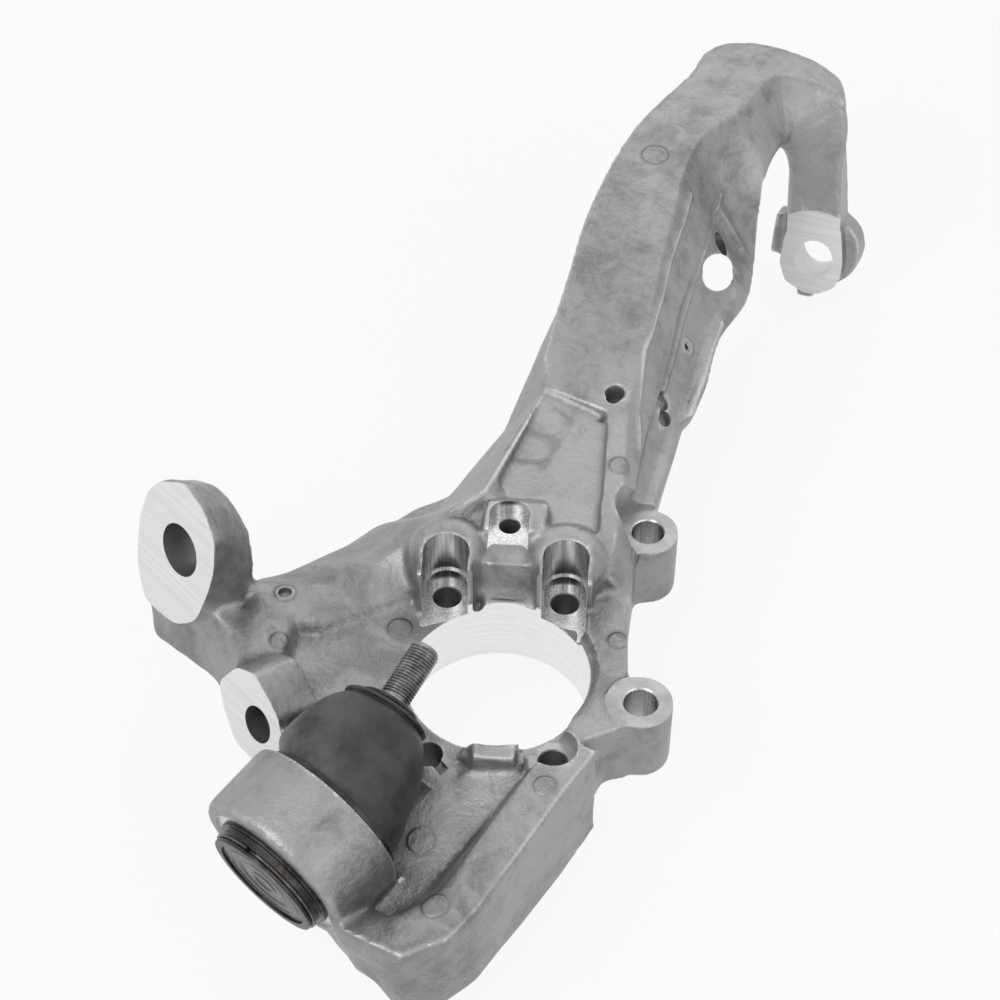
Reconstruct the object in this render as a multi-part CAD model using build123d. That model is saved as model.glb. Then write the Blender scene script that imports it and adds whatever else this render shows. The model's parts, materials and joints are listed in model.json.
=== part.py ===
"""Cast aluminium steering knuckle with its pressed-in ball joint, in millimetres.

The part lies on its outboard side, as it lies on the machining table. +Z runs along the hub bore to the
inboard side, +Y along the long side of the hub bolt rectangle, towards the swan-neck arm. The origin is the
centre of the hub bore on the outboard mounting face.
"""
from build123d import *
import math
import os

os.makedirs("parts", exist_ok=True)

# Hub plate, hub bore and the four bolts of the wheel bearing
hub_bore_radius = 42.0
hub_plate_thickness = 31.0
hub_plate_radius = 57.0
bolt_spacing_x = 55.5
bolt_spacing_y = 93.5
bolt_hole_radius = 6.5
bolt_pad_radius = 12.5
bolt_seat_radius = 10.8
bore_lip_height = 6.0
flange_relief_radius = 61.0

# Root of the arm, with the pocket, the sensor seat and the milled channels over the upper bolts
root_height = 66.0
pocket_depth = 9.0
dome_radius = 19.0
dome_rounding = 11.0
dome_shift = 8.0
sensor_seat_depth = 8.0
sensor_hole_radius = 4.75
sensor_seat_half_width = 9.5
sensor_y = 71.0

# The two caliper lugs on the right rail
lug_radius = 14.6
lug_hole_radius = 7.6
lug_face_height = 42.0
lug_thickness = 36.0
caliper_x = 65.0
caliper_spacing = 105.0
caliper_centre_y = 35.0

# Lower bay with its wall, round the ball joint
bay_floor_height = 18.0
bay_floor_thickness = 27.0
wall_bottom = -18.0
tab_height = 41.0

# Ball joint: its centre, the axis of its housing and the axis of the stud at rest
joint_centre = (-77.0, -100.5, 34.0)
joint_heading = 36.6
joint_elevation = 11.5
ring_radius = 40.0
ring_below = 14.0
ring_above = 18.0
sleeve_radius = 27.0
sleeve_wall = 3.8
sleeve_lip_width = 3.6
sleeve_lip_thickness = 4.0
sleeve_bottom = 23.0
sleeve_flange_width = 2.5
sleeve_flange_thickness = 2.4
clip_groove_depth = 1.8
clip_groove_start = 1.8
clip_width = 1.6
clip_rise = 0.9
clip_play = 0.1
ball_radius = 15.0
ball_clearance = 0.05
seat_clearance = 0.05
seat_top = 12.0
seat_mouth_start = 6.0
seat_mouth_radius = 13.2
seat_land = 0.6
end_plate_thickness = 2.5
stud_heading = 27.3
stud_elevation = 15.3
stud_length = 105.0
stud_thread_radius = 7.0
stud_thread_length = 29.0
stud_neck_radius = 8.2
stud_neck_length = 26.0
stud_collar_rise = 2.6
stud_collar_length = 4.0
stud_taper_radius = 9.4
stud_socket_radius = 2.9
boot_base_radius = 31.5
boot_neck_distance = 71.5
boot_neck_radius = 12.1
boot_wall = 2.2
boot_ring_wire = 1.7
neck_ring_wire = 1.1
rubber_gap = 0.25

# Left lugs, for the bolted-on arm
left_lug_heading = 224.2
left_lug_elevation = 15.7
upper_lug_centre = (-150.5, 40.0, 62.0)
upper_lug_thickness = 27.0
upper_lug_hole_radius = 13.0
lower_lug_centre = (-105.5, -33.0, 29.0)
lower_lug_thickness = 24.0
lower_lug_hole_radius = 9.0
lower_lug_hole_depth = 34.0
lower_lug_clear_radius = 30.0

# End of the arm, with the bore for the upper ball joint
clamp_centre = (154.0, 351.0, 0.0)
clamp_heading = 15.0
clamp_elevation = -20.0
clamp_length = 30.0
clamp_bore_radius = 11.0

# Two cast recesses: one at the end of the pocket, one in the flank
recess_radius = 4.6
recess_depth = 6.0
pocket_recess = (45.6, 155.6, 66.0)
flank_recess = (70.6, 166.5, 55.0)

# Trough along the right flank of the arm, and the window through its floor
trough_depth = 4.0
trough_start = 0.4
trough_end = 0.88
window_radius = 8.0
window_entry = (95.0, 254.0, 66.0)
window_heading = 3.6
window_elevation = -39.0


def direction(heading, elevation):
    """Unit vector: heading in degrees from +Y towards +X, elevation above the table."""
    h, e = math.radians(heading), math.radians(elevation)
    return Vector(math.sin(h) * math.cos(e), math.cos(h) * math.cos(e), math.sin(e))


sleeve_inner_radius = sleeve_radius - sleeve_wall
sleeve_lip_radius = sleeve_inner_radius - sleeve_lip_width
sleeve_flange_radius = sleeve_radius + sleeve_flange_width
clip_groove_radius = sleeve_radius - clip_groove_depth
up = Vector(0, 0, 1)
joint_axis = direction(joint_heading, joint_elevation)
stud_axis = direction(stud_heading, stud_elevation)
boot_axis = (joint_axis + stud_axis).normalized()
lug_axis = direction(left_lug_heading, left_lug_elevation)
clamp_axis = direction(clamp_heading, clamp_elevation)
bolt_centres = [(sx * bolt_spacing_x / 2, sy * bolt_spacing_y / 2 + 1.5) for sx in (-1, 1) for sy in (-1, 1)]
caliper_centres = [(caliper_x, caliper_centre_y + s * caliper_spacing / 2) for s in (-1, 1)]


def along(start, axis, distance):
    return Vector(*start) + axis * distance


def slab(points, low, high, corner=0.0):
    """Flat outline with rounded corners, from one height to another."""
    outline = make_face(Polyline(*points, close=True))
    if corner:
        outline = fillet(outline.vertices(), corner)
    return Pos(0, 0, low) * extrude(outline, high - low)


def post(start, axis, radius, length):
    """Round bar from a start point along an axis."""
    return Plane(origin=start, z_dir=axis) * Cylinder(radius, length,
                                                      align=(Align.CENTER, Align.CENTER, Align.MIN))


def ring(start, axis, outer, inner, length):
    return post(start, axis, outer, length) - post(start, axis, inner, length)


def turned(start, axis, profile):
    """Body turned from a profile of (radius, distance along the axis) points."""
    outline = make_face(Polyline(*[(r, 0, s) for r, s in profile], close=True))
    return Plane(origin=start, z_dir=axis) * revolve(outline, Axis.Z)


def beam(stations):
    """Straight-sided body through sections: each a tangent and corner points, put in the plane square to it."""
    faces = []
    for tangent, corners in stations:
        plane = Plane(origin=corners[0], z_dir=tangent)
        flat = [plane.to_local_coords(Vector(*corner)) for corner in corners]
        faces.append(plane * make_face(Polyline(*[(p.X, p.Y) for p in flat], close=True)))
    return loft(faces, ruled=True)


def lug_plate(centre, outline, axis, thickness, corner):
    """Plate behind a machined lug face; the outline is measured from the hole, across and up the face."""
    plane = Plane(origin=centre, x_dir=up.cross(axis), z_dir=axis)
    face = fillet(make_face(Polyline(*outline, close=True)).vertices(), corner)
    return plane * extrude(face, -thickness)


def arm():
    """Swan-neck of wedge section: it climbs from the root, bends over and comes down as the hook's leg."""
    return beam([
        ((.45, .9, 0), [(12, 159, 66), (50, 140, 66.5), (60, 135, 52), (60, 135, 27), (12, 159, 27)]),
        ((.08, 1, .1), [(9, 175, 72), (57, 169, 72), (87, 171, 44), (84, 171, 33), (12, 175, 38)]),
        ((.18, .95, .25), [(19, 228, 88), (63, 219, 88), (98, 223, 45), (94, 223, 36), (24, 228, 56)]),
        ((.24, .95, .15), [(28, 272, 97), (70, 261, 97), (113, 260, 44), (108, 260, 36), (36, 272, 66)]),
        ((.35, .93, .05), [(47, 327, 103), (80, 314, 103), (118, 304, 35), (112, 304, 30), (56, 324, 70)]),
        ((.7, .7, -.05), [(73, 375, 104), (104, 346, 104), (122, 328, 74), (116, 330, 62), (84, 366, 68)]),
        ((.8, .45, -.4), [(107, 417, 101), (127, 383, 103), (132, 355, 78), (126, 356, 68), (98, 396, 66)]),
        ((.6, .1, -.8), [(158, 404, 92), (164, 374, 90), (136, 362, 66), (128, 372, 62), (128, 400, 64)]),
        ((0, 0, -1), [(169, 396, 50), (164.5, 357, 50), (136, 363, 50), (136, 376, 50), (146, 402, 50)]),
        ((0, 0, -1), [(174, 380, 10), (168, 353, 10), (138, 360, 10), (138, 372, 10), (148, 388, 10)]),
    ])


def rib():
    """Rib from the upper caliper lug along the right of the pocket into the arm's flank."""
    return beam([
        ((0, 1, 0), [(42, 48, 50), (48, 48, 50), (55, 48, 40), (54, 48, 15), (38, 48, 15)]),
        ((0, 1, 0), [(42, 66, 61), (50, 66, 61), (59, 66, 42), (57, 66, 15.5), (39, 66, 15.5)]),
        ((0, 1, 0), [(42, 97, 64), (52, 97, 64), (67, 97, 42), (65, 97, 18), (40, 97, 18)]),
        ((0, 1, 0), [(42, 140, 66), (53, 140, 66), (77, 140, 43), (74, 140, 26), (40, 140, 24)]),
        ((0, 1, 0), [(44, 168, 66), (53, 168, 67), (82, 168, 43), (80, 168, 35), (42, 168, 37)]),
    ])


def root():
    """Raised root of the arm over the upper hub bolts, with its sloped front."""
    block = slab([(-15, 85), (10, 158), (44, 148), (49, 62), (30, 47), (-9, 47), (-20, 62)],
                 9, root_height - pocket_depth, 3)
    block += beam([
        ((0, 1, 0), [(-9, 42, 36), (17, 42, 36), (18, 42, 12), (-10, 42, 12)]),
        ((0, 1, 0), [(-10, 63, root_height), (17, 63, root_height), (19, 63, 12), (-12, 63, 12)]),
        ((0, 1, 0), [(-11, 79, root_height), (18, 79, root_height), (20, 79, 12), (-13, 79, 12)]),
        ((0, 1, 0), [(-6, 94, root_height - 11), (13, 94, root_height - 11), (15, 94, 12), (-8, 94, 12)]),
    ])
    for x, y in bolt_centres:
        if y > 0:
            dome = post((x, y + dome_shift, 2), up, dome_radius, root_height - 4)
            block += fillet(dome.edges().group_by(Axis.Z)[-1], dome_rounding)
    return block


def flank():
    """Sloped flank on the left, from the upper lug along the silhouette to the arm."""
    return beam([
        ((1, .4, 0), [(-112, 26, 42), (-118, 44, 42), (-121, 54, 30), (-118, 46, 12), (-110, 20, 12)]),
        ((.9, .5, 0), [(-86, 20, 37), (-95, 36, 43), (-104, 62, 30), (-99, 52, 12), (-84, 16, 10)]),
        ((.8, .6, 0), [(-50, 40, 36), (-62, 54, 48), (-75, 84, 30), (-71, 76, 12), (-48, 36, 9)]),
        ((.6, .8, 0), [(-24, 62, 44), (-32, 72, 61), (-50, 116, 31), (-46, 106, 12), (-20, 56, 9)]),
        ((.3, .95, 0), [(-3, 84, 53), (-13, 86, 66), (-29, 136, 33), (-24, 124, 14), (14, 80, 10)]),
        ((.1, 1, 0), [(21, 155, 58), (11, 157, 66), (-9, 163, 36), (-4, 160, 22), (34, 150, 28)]),
        ((.1, 1, 0), [(40, 212, 74), (18, 214, 82), (6, 212, 46), (10, 210, 40), (40, 208, 42)]),
    ])


def bay_wall():
    """Deep wall of the lower bay: rim, sloped inner face and straight outer face."""
    low, inset, floor = wall_bottom, wall_bottom + 4, bay_floor_height
    return beam([
        ((-.45, -.9, 0),
         [(47, -46, 42), (30, -38, 42), (20, -38, floor), (27, -38, inset), (47, -48, inset)]),
        ((-.42, -.9, 0), [(34, -69, 42), (17, -62, 42), (7, -60, floor), (12, -62, low), (34, -71, low)]),
        ((-.5, -.86, 0),
         [(3, -130, 42), (-14, -121, 40), (-24, -114, floor), (-20, -118, low), (1, -129, low)]),
        ((-.65, -.76, 0),
         [(-9, -147, 41), (-24, -128, 38), (-30, -119, 17), (-27, -123, low), (-12, -141, low)]),
        ((-.95, -.3, 0),
         [(-28, -156, 40), (-35, -134, 36), (-38, -124, 17), (-37, -127, low), (-29, -146, low)]),
        ((-.88, .47, 0),
         [(-49, -145, 37), (-46, -126, 31), (-45, -117, 16), (-44, -119, low), (-44, -132, low)]),
        ((-.72, .7, 0),
         [(-61, -135, 32), (-56, -120, 27), (-52, -113, 15), (-52, -114, low), (-56, -124, low)]),
    ])


def bay():
    """Floor between the hub, the wall and the ball joint, and the cast block that carries the joint's ring."""
    floor_low = bay_floor_height - bay_floor_thickness
    floor = slab([(40, -36), (14, -60), (-20, -128), (-42, -140), (-58, -124), (-84, -60), (-60, -20), (0, -45)],
                 floor_low, bay_floor_height, 6)
    ramp = beam([
        ((-.2, -.98, 0), [(16, -46, 37), (-11, -46, 36), (-13, -46, 10), (18, -46, 10)]),
        ((-.3, -.95, 0), [(8, -76, 26), (-26, -70, 26), (-28, -70, 8), (10, -76, 8)]),
        ((-.4, -.9, 0), [(-12, -112, 15), (-40, -104, 15), (-40, -104, 5), (-12, -112, 5)]),
    ])
    carrier = slab([(-43, -133), (-59, -120), (-69, -108), (-52, -80), (-25, -96), (-14, -124)],
                   wall_bottom + 0.5, 16.5, 4)
    return floor + carrier + ramp


def left_block():
    """Web that carries the two left lugs, and the saddle between them."""
    web = slab([(-40, -46), (-72, -62), (-96, -34), (-118, 0), (-134, 24), (-122, 50), (-96, 56), (-50, 108),
                (-20, 124), (40, 60)], 11, hub_plate_thickness, 6)
    saddle = beam([
        ((0, 1, 0), [(-108, -50, 38), (-88, -50, 36), (-80, -50, 7), (-106, -50, 7)]),
        ((0, 1, 0), [(-118, -8, 41), (-98, -8, 40), (-90, -8, 9), (-120, -8, 9)]),
        ((0, 1, 0), [(-118, 42, 43), (-96, 42, 42), (-88, 42, 10), (-124, 42, 10)]),
    ])
    return web + saddle


def left_lugs():
    front = [(-20.8, 26), (-28.4, 15.7), (-31.6, -1), (-30, -24), (-20, -43), (4, -41),
             (18.3, -29), (23, -13.4), (25.5, 4), (23, 20), (12, 31), (-4, 36)]
    back = [(-28, 14), (-32, 6), (-33, -6), (-32, -28), (-22, -54), (6, -54),
            (22, -38), (27, -18), (24, -2), (16, 13), (2, 20), (-12, 21)]
    face_plane = Plane(origin=upper_lug_centre, x_dir=up.cross(lug_axis), z_dir=lug_axis)
    back_plane = face_plane.offset(-upper_lug_thickness)
    upper = loft([face_plane * make_face(Polyline(*front, close=True)),
                  back_plane * make_face(Polyline(*back, close=True))], ruled=True)
    lower = lug_plate(lower_lug_centre, [(-20, 19), (-30, 3), (-24, -8), (-11, -21), (6, -18), (15, -4), (13, 12),
                                         (4, 18), (-8, 24)], lug_axis, lower_lug_thickness, 2)
    rib = lug_plate(along(upper_lug_centre, lug_axis, -4), [(-32, -24), (-16, -66), (34, -57), (58, -72),
                                                            (64, -50), (44, -22), (10, -20)],
                    lug_axis, upper_lug_thickness - 8, 2)
    return upper + lower + rib


def clamp_end():
    """End of the arm round the upper ball joint's bore, with its rear boss and the cast lumps at its sides."""
    plane = Plane(origin=clamp_centre, x_dir=(0.966, -0.259, 0), z_dir=clamp_axis * -1)
    outline = [(-16.4, 22), (12.7, 19), (16.6, 2), (17, -8), (14, -15), (6, -20), (-2, -21), (-14, -16),
               (-19, -6), (-19, 8)]
    front = fillet(make_face(Polyline(*outline, close=True)).vertices(), 3)
    body = plane * extrude(front, -clamp_length)
    rear = Pos(4, 3, -10) * Cylinder(20.5, clamp_length - 10, align=(Align.CENTER, Align.CENTER, Align.MAX))
    side = Pos(-21, 8, -8) * Box(12, 24, 18, align=(Align.CENTER, Align.CENTER, Align.MAX))
    nub = Pos(-2, -20, -4) * Box(10, 10, 14, align=(Align.CENTER, Align.CENTER, Align.MAX))
    return body + plane * rear + plane * side + plane * nub


def tab():
    """Raised tab below the bore, drawn in towards its top."""
    return beam([
        ((0, 0, 1), [(-12, -38, 8), (16, -38, 8), (15, -56, 8), (-11, -56, 8)]),
        ((0, 0, 1),
         [(-8, -38, tab_height), (12, -38, tab_height), (11, -53, tab_height), (-7, -53, tab_height)]),
    ])


def trough():
    """Groove along the right flank; each section is set by the flank's upper and lower edge there."""
    flank_edges = [((52, 90, 63.5), (65, 90, 42)), ((53, 140, 66), (77, 140, 43)),
                   ((57, 170, 72), (87, 170, 44)), ((63, 221, 88), (98, 221, 45)),
                   ((70, 261, 97), (113, 261, 44)), ((78, 300, 101.5), (117, 300, 37))]
    sections = []
    for top, foot in flank_edges:
        across = Vector(*foot) - Vector(*top)
        out = Vector(-across.Z, 0, across.X).normalized()
        middle = 0.08
        corners = [(trough_start - middle, 3), (trough_end + middle, 3), (trough_end - middle, -trough_depth),
                   (trough_start + middle, -trough_depth)]
        sections.append(((0, 1, 0),
                         [tuple(Vector(*top) + across * share + out * height) for share, height in corners]))
    return beam(sections)


def caliper_lugs():
    """Two round lugs with cast arms back to the rail, and the rail between them."""
    lugs = slab([(36, -32), (60, -32), (57.5, 34), (62, 106), (36, 106)], 3, 41)
    low = lug_face_height - lug_thickness
    reach = lug_radius - 0.8
    for x, y in caliper_centres:
        side = 1 if y > caliper_centre_y else -1
        lugs += post((x, y, low), up, lug_radius, lug_thickness)
        lugs += slab([(x + 1, y - reach), (x + 1, y + reach), (45, y + reach), (45, y - reach)],
                     low + 1, lug_face_height - 3)
        lugs += slab([(x + 3, y - side * reach), (x - 14, y - side * (lug_radius + 8)),
                      (48, y - side * 20), (48, y)],
                     low + 2, lug_face_height - 5)
    return lugs


def casting_body():
    body = post((0, 0, 0), up, hub_plate_radius, hub_plate_thickness)
    for x, y in bolt_centres:
        body += post((x, y, 0), up, bolt_pad_radius, hub_plate_thickness)
    body += slab([(20, 50), (20, -50), (44, -50), (52, -30), (52, 60)], 4, hub_plate_thickness, 4)
    body += tab()
    body += beam([
        ((.45, -.9, 0), [(36, -22, 41), (58, -16, 40), (60, -16, 5), (30, -24, 5)]),
        ((.45, -.9, 0), [(30, -46, 42), (61, -36, 42), (61, -36, 5), (22, -44, 5)]),
    ])
    for piece in (left_block(), flank(), root(), rib(), caliper_lugs(), bay(), bay_wall(), left_lugs()):
        body += piece
    body += post(along(joint_centre, joint_axis, -ring_below), joint_axis, ring_radius, ring_below + ring_above)
    body += arm()
    body += clamp_end()
    return body


def machining():
    """Everything that is bored, drilled or milled."""
    cuts = post((0, 0, -30), up, hub_bore_radius, 160)
    cuts += post((0, 0, -40), up, flange_relief_radius, 40)
    for x, y in bolt_centres:
        cuts += post((x, y, -30), up, bolt_hole_radius, 160)
        if y > 0:
            cuts += post((x, y, hub_plate_thickness), up, bolt_seat_radius, 60)
            cuts += Pos(x, y, hub_plate_thickness) * Box(2 * bolt_seat_radius, 24, 60,
                                                         align=(Align.CENTER, Align.MAX, Align.MIN))
        elif x < 0:
            cuts += post((x, y, hub_plate_thickness), up, bolt_seat_radius, 12)
    cuts += post((0, 0, hub_plate_thickness + bore_lip_height), up, hub_bore_radius + 3, 40)
    for x, y in caliper_centres:
        cuts += post((x, y, -30), up, lug_hole_radius, 120)
        cuts += post((x, y, lug_face_height), up, lug_radius + 1.5, 30)
    seat_floor = root_height - sensor_seat_depth
    half = sensor_seat_half_width
    cuts += slab([(-half, 56), (half, 56), (half, sensor_y + 7), (-half, sensor_y + 7)],
                 seat_floor, root_height + 20)
    cuts += post((0, sensor_y, seat_floor - 18), up, sensor_hole_radius, 40)
    cuts += post(along(joint_centre, joint_axis, -60), joint_axis, sleeve_radius, 100)
    cuts += post(along(joint_centre, joint_axis, ring_above), joint_axis, ring_radius + 1, 5)
    cuts += post(along(joint_centre, boot_axis, ring_above), boot_axis, ring_radius - 3, 58)
    cuts += post(along(joint_centre, joint_axis, -ring_below - 60), joint_axis, sleeve_flange_radius + 4, 60)
    cuts += post(along(upper_lug_centre, lug_axis, -60), lug_axis, upper_lug_hole_radius, 90)
    blind_end = along(lower_lug_centre, lug_axis, -lower_lug_hole_depth)
    cuts += post(blind_end, lug_axis, lower_lug_hole_radius, lower_lug_hole_depth + 18)
    cuts += post(lower_lug_centre, lug_axis, lower_lug_clear_radius, 18)
    cuts += post(along(clamp_centre, clamp_axis, -40), clamp_axis, clamp_bore_radius, 100)
    window_axis = direction(window_heading, window_elevation)
    cuts += post(along(window_entry, window_axis, -30), window_axis, window_radius, 120)
    cuts += trough()
    cuts += post(along(pocket_recess, up, -recess_depth), up, recess_radius, recess_depth + 12)
    flank_out = direction(90, 46)
    cuts += post(along(flank_recess, flank_out, -recess_depth), flank_out, recess_radius, recess_depth + 8)
    return cuts


def knuckle_casting():
    return casting_body() - machining()


def ball_joint_sleeve():
    groove_low = -sleeve_bottom + clip_groove_start
    groove_high = groove_low + clip_width
    outer = [(sleeve_inner_radius, -sleeve_bottom), (sleeve_radius, -sleeve_bottom),
             (sleeve_radius, groove_low), (clip_groove_radius, groove_low),
             (clip_groove_radius, groove_high), (sleeve_radius, groove_high),
             (sleeve_radius, -ring_below - sleeve_flange_thickness),
             (sleeve_flange_radius, -ring_below - sleeve_flange_thickness), (sleeve_flange_radius, -ring_below),
             (sleeve_radius, -ring_below), (sleeve_radius, ring_above), (sleeve_lip_radius, ring_above),
             (sleeve_lip_radius, ring_above - sleeve_lip_thickness),
             (sleeve_inner_radius, ring_above - sleeve_lip_thickness)]
    return turned(joint_centre, joint_axis, outer)


def ball_seat():
    low = -sleeve_bottom + end_plate_thickness
    bore = sleeve_inner_radius - seat_clearance
    mouth = sleeve_lip_radius - seat_land
    outline = make_face(Polyline((0, low), (bore, low), (bore, seat_top), (mouth, seat_top),
                                 (seat_mouth_radius, seat_mouth_start), (0, seat_mouth_start), close=True))
    outline -= Circle(ball_radius + ball_clearance)
    return Plane(origin=joint_centre, z_dir=joint_axis) * revolve(Plane.XZ * outline, Axis.Z)


def ball_stud():
    thread_start = stud_length - stud_thread_length
    collar_radius = stud_taper_radius + stud_collar_rise
    collar_low = stud_neck_length + stud_collar_length
    collar_high = collar_low + stud_collar_length
    shank = turned(joint_centre, stud_axis, [
        (0, 0), (stud_neck_radius, 0), (stud_neck_radius, stud_neck_length), (collar_radius, collar_low),
        (collar_radius, collar_high), (stud_taper_radius, collar_high + 2),
        (stud_taper_radius - 1.2, thread_start - 3),
        (stud_thread_radius - 0.8, thread_start - 2), (stud_thread_radius - 0.8, thread_start),
        (stud_thread_radius, thread_start + 1), (stud_thread_radius, stud_length - 1.2),
        (stud_thread_radius - 1.2, stud_length), (0, stud_length)])
    socket = Plane(origin=along(joint_centre, stud_axis, stud_length - 6), z_dir=stud_axis) * extrude(
        RegularPolygon(stud_socket_radius, 6), 10)
    return shank + Pos(*joint_centre) * Sphere(ball_radius) - socket


def sleeve_end_plate():
    return turned(joint_centre, joint_axis, [
        (0, -sleeve_bottom), (sleeve_inner_radius, -sleeve_bottom),
        (sleeve_inner_radius, -sleeve_bottom + end_plate_thickness),
        (0, -sleeve_bottom + end_plate_thickness)])


def sleeve_clip():
    low = -sleeve_bottom + clip_groove_start + clip_play
    inner = clip_groove_radius + clip_play / 2
    closed = turned(joint_centre, joint_axis, [
        (inner, low), (sleeve_radius + clip_rise, low),
        (sleeve_radius + clip_rise, low + clip_width - 2 * clip_play),
        (inner, low + clip_width - 2 * clip_play)])
    bottom = Plane(origin=along(joint_centre, joint_axis, -sleeve_bottom), z_dir=joint_axis)
    gap = Pos(0, -sleeve_radius, 3) * Box(6, 8, 12)
    return closed - bottom * gap


def boot_surface(shrink):
    """Closed dome of the boot, made smaller by the wall for its hollow."""
    rows = [(joint_axis, ring_above + rubber_gap - shrink / 2, boot_base_radius), (boot_axis, 27, 32.6),
            (stud_axis, 38, 32.4), (stud_axis, 51, 29.7), (stud_axis, 61, 25.4), (stud_axis, 67.5, 20.9),
            (stud_axis, boot_neck_distance - shrink, 17.0)]
    discs = []
    for axis, distance, radius in rows:
        circle = make_face(CenterArc((0, 0), radius - shrink, 0, 360))
        discs.append(Plane(origin=along(joint_centre, axis, distance), z_dir=axis) * circle)
    return loft(discs)


def dust_boot():
    neck = post(along(joint_centre, stud_axis, boot_neck_distance - 4), stud_axis, boot_neck_radius, 6.5)
    hole = post(along(joint_centre, stud_axis, boot_neck_distance - 12), stud_axis, stud_taper_radius + 0.2, 30)
    return boot_surface(0) - boot_surface(boot_wall) + neck - hole


def wire_ring(distance, axis, radius, wire):
    return Plane(origin=along(joint_centre, axis, distance), z_dir=axis) * Torus(radius, wire)


def boot_base_ring():
    return wire_ring(ring_above + 2.2, joint_axis, boot_base_radius + boot_ring_wire + 0.6, boot_ring_wire)


def boot_neck_ring():
    return wire_ring(boot_neck_distance + 1.4, stud_axis, boot_neck_radius + neck_ring_wire + 0.1, neck_ring_wire)


nodes = {
    "knuckle_casting": knuckle_casting(),
    "ball_joint_sleeve": ball_joint_sleeve(),
    "ball_seat": ball_seat(),
    "ball_stud": ball_stud(),
    "sleeve_end_plate": sleeve_end_plate(),
    "sleeve_clip": sleeve_clip(),
    "dust_boot": dust_boot(),
    "boot_base_ring": boot_base_ring(),
    "boot_neck_ring": boot_neck_ring(),
}

for name, solid in nodes.items():
    solid.label = name
    export_step(solid, f"parts/{name}.step")
    print(name, round(solid.volume / 1000, 1), "cm3", len(solid.solids()), "solid")
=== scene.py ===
import json
import math
import bmesh
import bpy
import numpy as np
from mathutils import Matrix, Vector

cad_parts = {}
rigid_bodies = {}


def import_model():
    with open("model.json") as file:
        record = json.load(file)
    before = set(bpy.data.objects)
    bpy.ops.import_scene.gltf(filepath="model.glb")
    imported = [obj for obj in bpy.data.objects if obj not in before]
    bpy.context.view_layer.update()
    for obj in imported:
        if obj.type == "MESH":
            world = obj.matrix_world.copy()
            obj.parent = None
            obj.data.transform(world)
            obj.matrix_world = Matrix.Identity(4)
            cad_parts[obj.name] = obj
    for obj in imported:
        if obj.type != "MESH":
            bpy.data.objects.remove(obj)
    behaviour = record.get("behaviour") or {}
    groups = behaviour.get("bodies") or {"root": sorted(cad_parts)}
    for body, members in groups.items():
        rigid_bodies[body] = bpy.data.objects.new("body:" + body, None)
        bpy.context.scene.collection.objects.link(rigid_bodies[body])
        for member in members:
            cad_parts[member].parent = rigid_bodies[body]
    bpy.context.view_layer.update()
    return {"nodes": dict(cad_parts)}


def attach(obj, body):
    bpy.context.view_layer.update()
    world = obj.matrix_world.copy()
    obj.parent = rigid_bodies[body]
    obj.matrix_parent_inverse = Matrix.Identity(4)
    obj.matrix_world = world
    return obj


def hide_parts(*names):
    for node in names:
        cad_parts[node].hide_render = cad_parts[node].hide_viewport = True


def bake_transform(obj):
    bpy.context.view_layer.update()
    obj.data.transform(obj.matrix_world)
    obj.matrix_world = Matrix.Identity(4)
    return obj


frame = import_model()
nodes = frame["nodes"]
mm = 0.001
print("stage: frame loaded")


def direction(heading, elevation):
    # heading in degrees from +Y towards +X, elevation above the table
    h, e = math.radians(heading), math.radians(elevation)
    return np.array([math.sin(h) * math.cos(e), math.cos(h) * math.cos(e), math.sin(e)])


places = {  # as in the part's source, in millimetres
    "jointCentre": np.array([-77.0, -100.5, 34.0]),
    "jointAxis": direction(36.6, 11.5),
    "studAxis": direction(27.3, 15.3),
    "swingAxis": (0.2149, -0.3866, 0.8969),
    "lugAxis": direction(224.2, 15.7),
    "upperLug": np.array([-150.5, 40.0, 62.0]),
    "lowerLug": np.array([-105.5, -33.0, 29.0]),
    "clampCentre": np.array([154.0, 351.0, 0.0]),
    "clampAxis": direction(15.0, -20.0),
    "boltX": 27.75, "boltY": 46.75, "boltShiftY": 1.5,
    "caliperX": 65.0, "caliperY": 35.0, "caliperHalf": 52.5,
}
up = np.array([0.0, 0.0, 1.0])


def unit(v):
    return v / np.linalg.norm(v)


def frameOf(axis, across=None):
    # two unit vectors square to the axis, the first one as near to "across" as can be
    axis = unit(axis)
    guess = across if across is not None else (up if abs(axis[2]) < 0.9 else np.array([1.0, 0, 0]))
    first = unit(guess - axis * (guess @ axis))
    return first, np.cross(axis, first), axis


def gridMesh(name, points, material, capEnds=False, sharp=35.0):
    # points has the shape rows x columns x 3; quads join each row to the next, and columns meet at the seam
    rows, cols = points.shape[:2]
    index = np.arange(rows * cols).reshape(rows, cols)
    nextCol = np.roll(index, -1, axis=1)
    quads = np.stack([index[:-1], nextCol[:-1], nextCol[1:], index[1:]], axis=-1).reshape(-1, 4)
    faces = quads.tolist()
    if capEnds:
        faces += [index[0][::-1].tolist(), index[-1].tolist()]
    mesh = bpy.data.meshes.new(name)
    mesh.from_pydata((points.reshape(-1, 3) * mm).tolist(), [], faces)
    return finishMesh(name, mesh, material, sharp)


def finishMesh(name, mesh, material, sharp):
    obj = bpy.data.objects.new(name, mesh)
    bpy.context.scene.collection.objects.link(obj)
    if material is not None:
        mesh.materials.append(material)
    mergeDoubles(mesh)
    mesh.shade_smooth()
    mesh.set_sharp_from_angle(angle=math.radians(sharp))
    return obj


def mergeDoubles(mesh, distance=1e-6):
    work = bmesh.new()
    work.from_mesh(mesh)
    bmesh.ops.remove_doubles(work, verts=work.verts, dist=distance)
    work.to_mesh(mesh)
    work.free()


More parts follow.
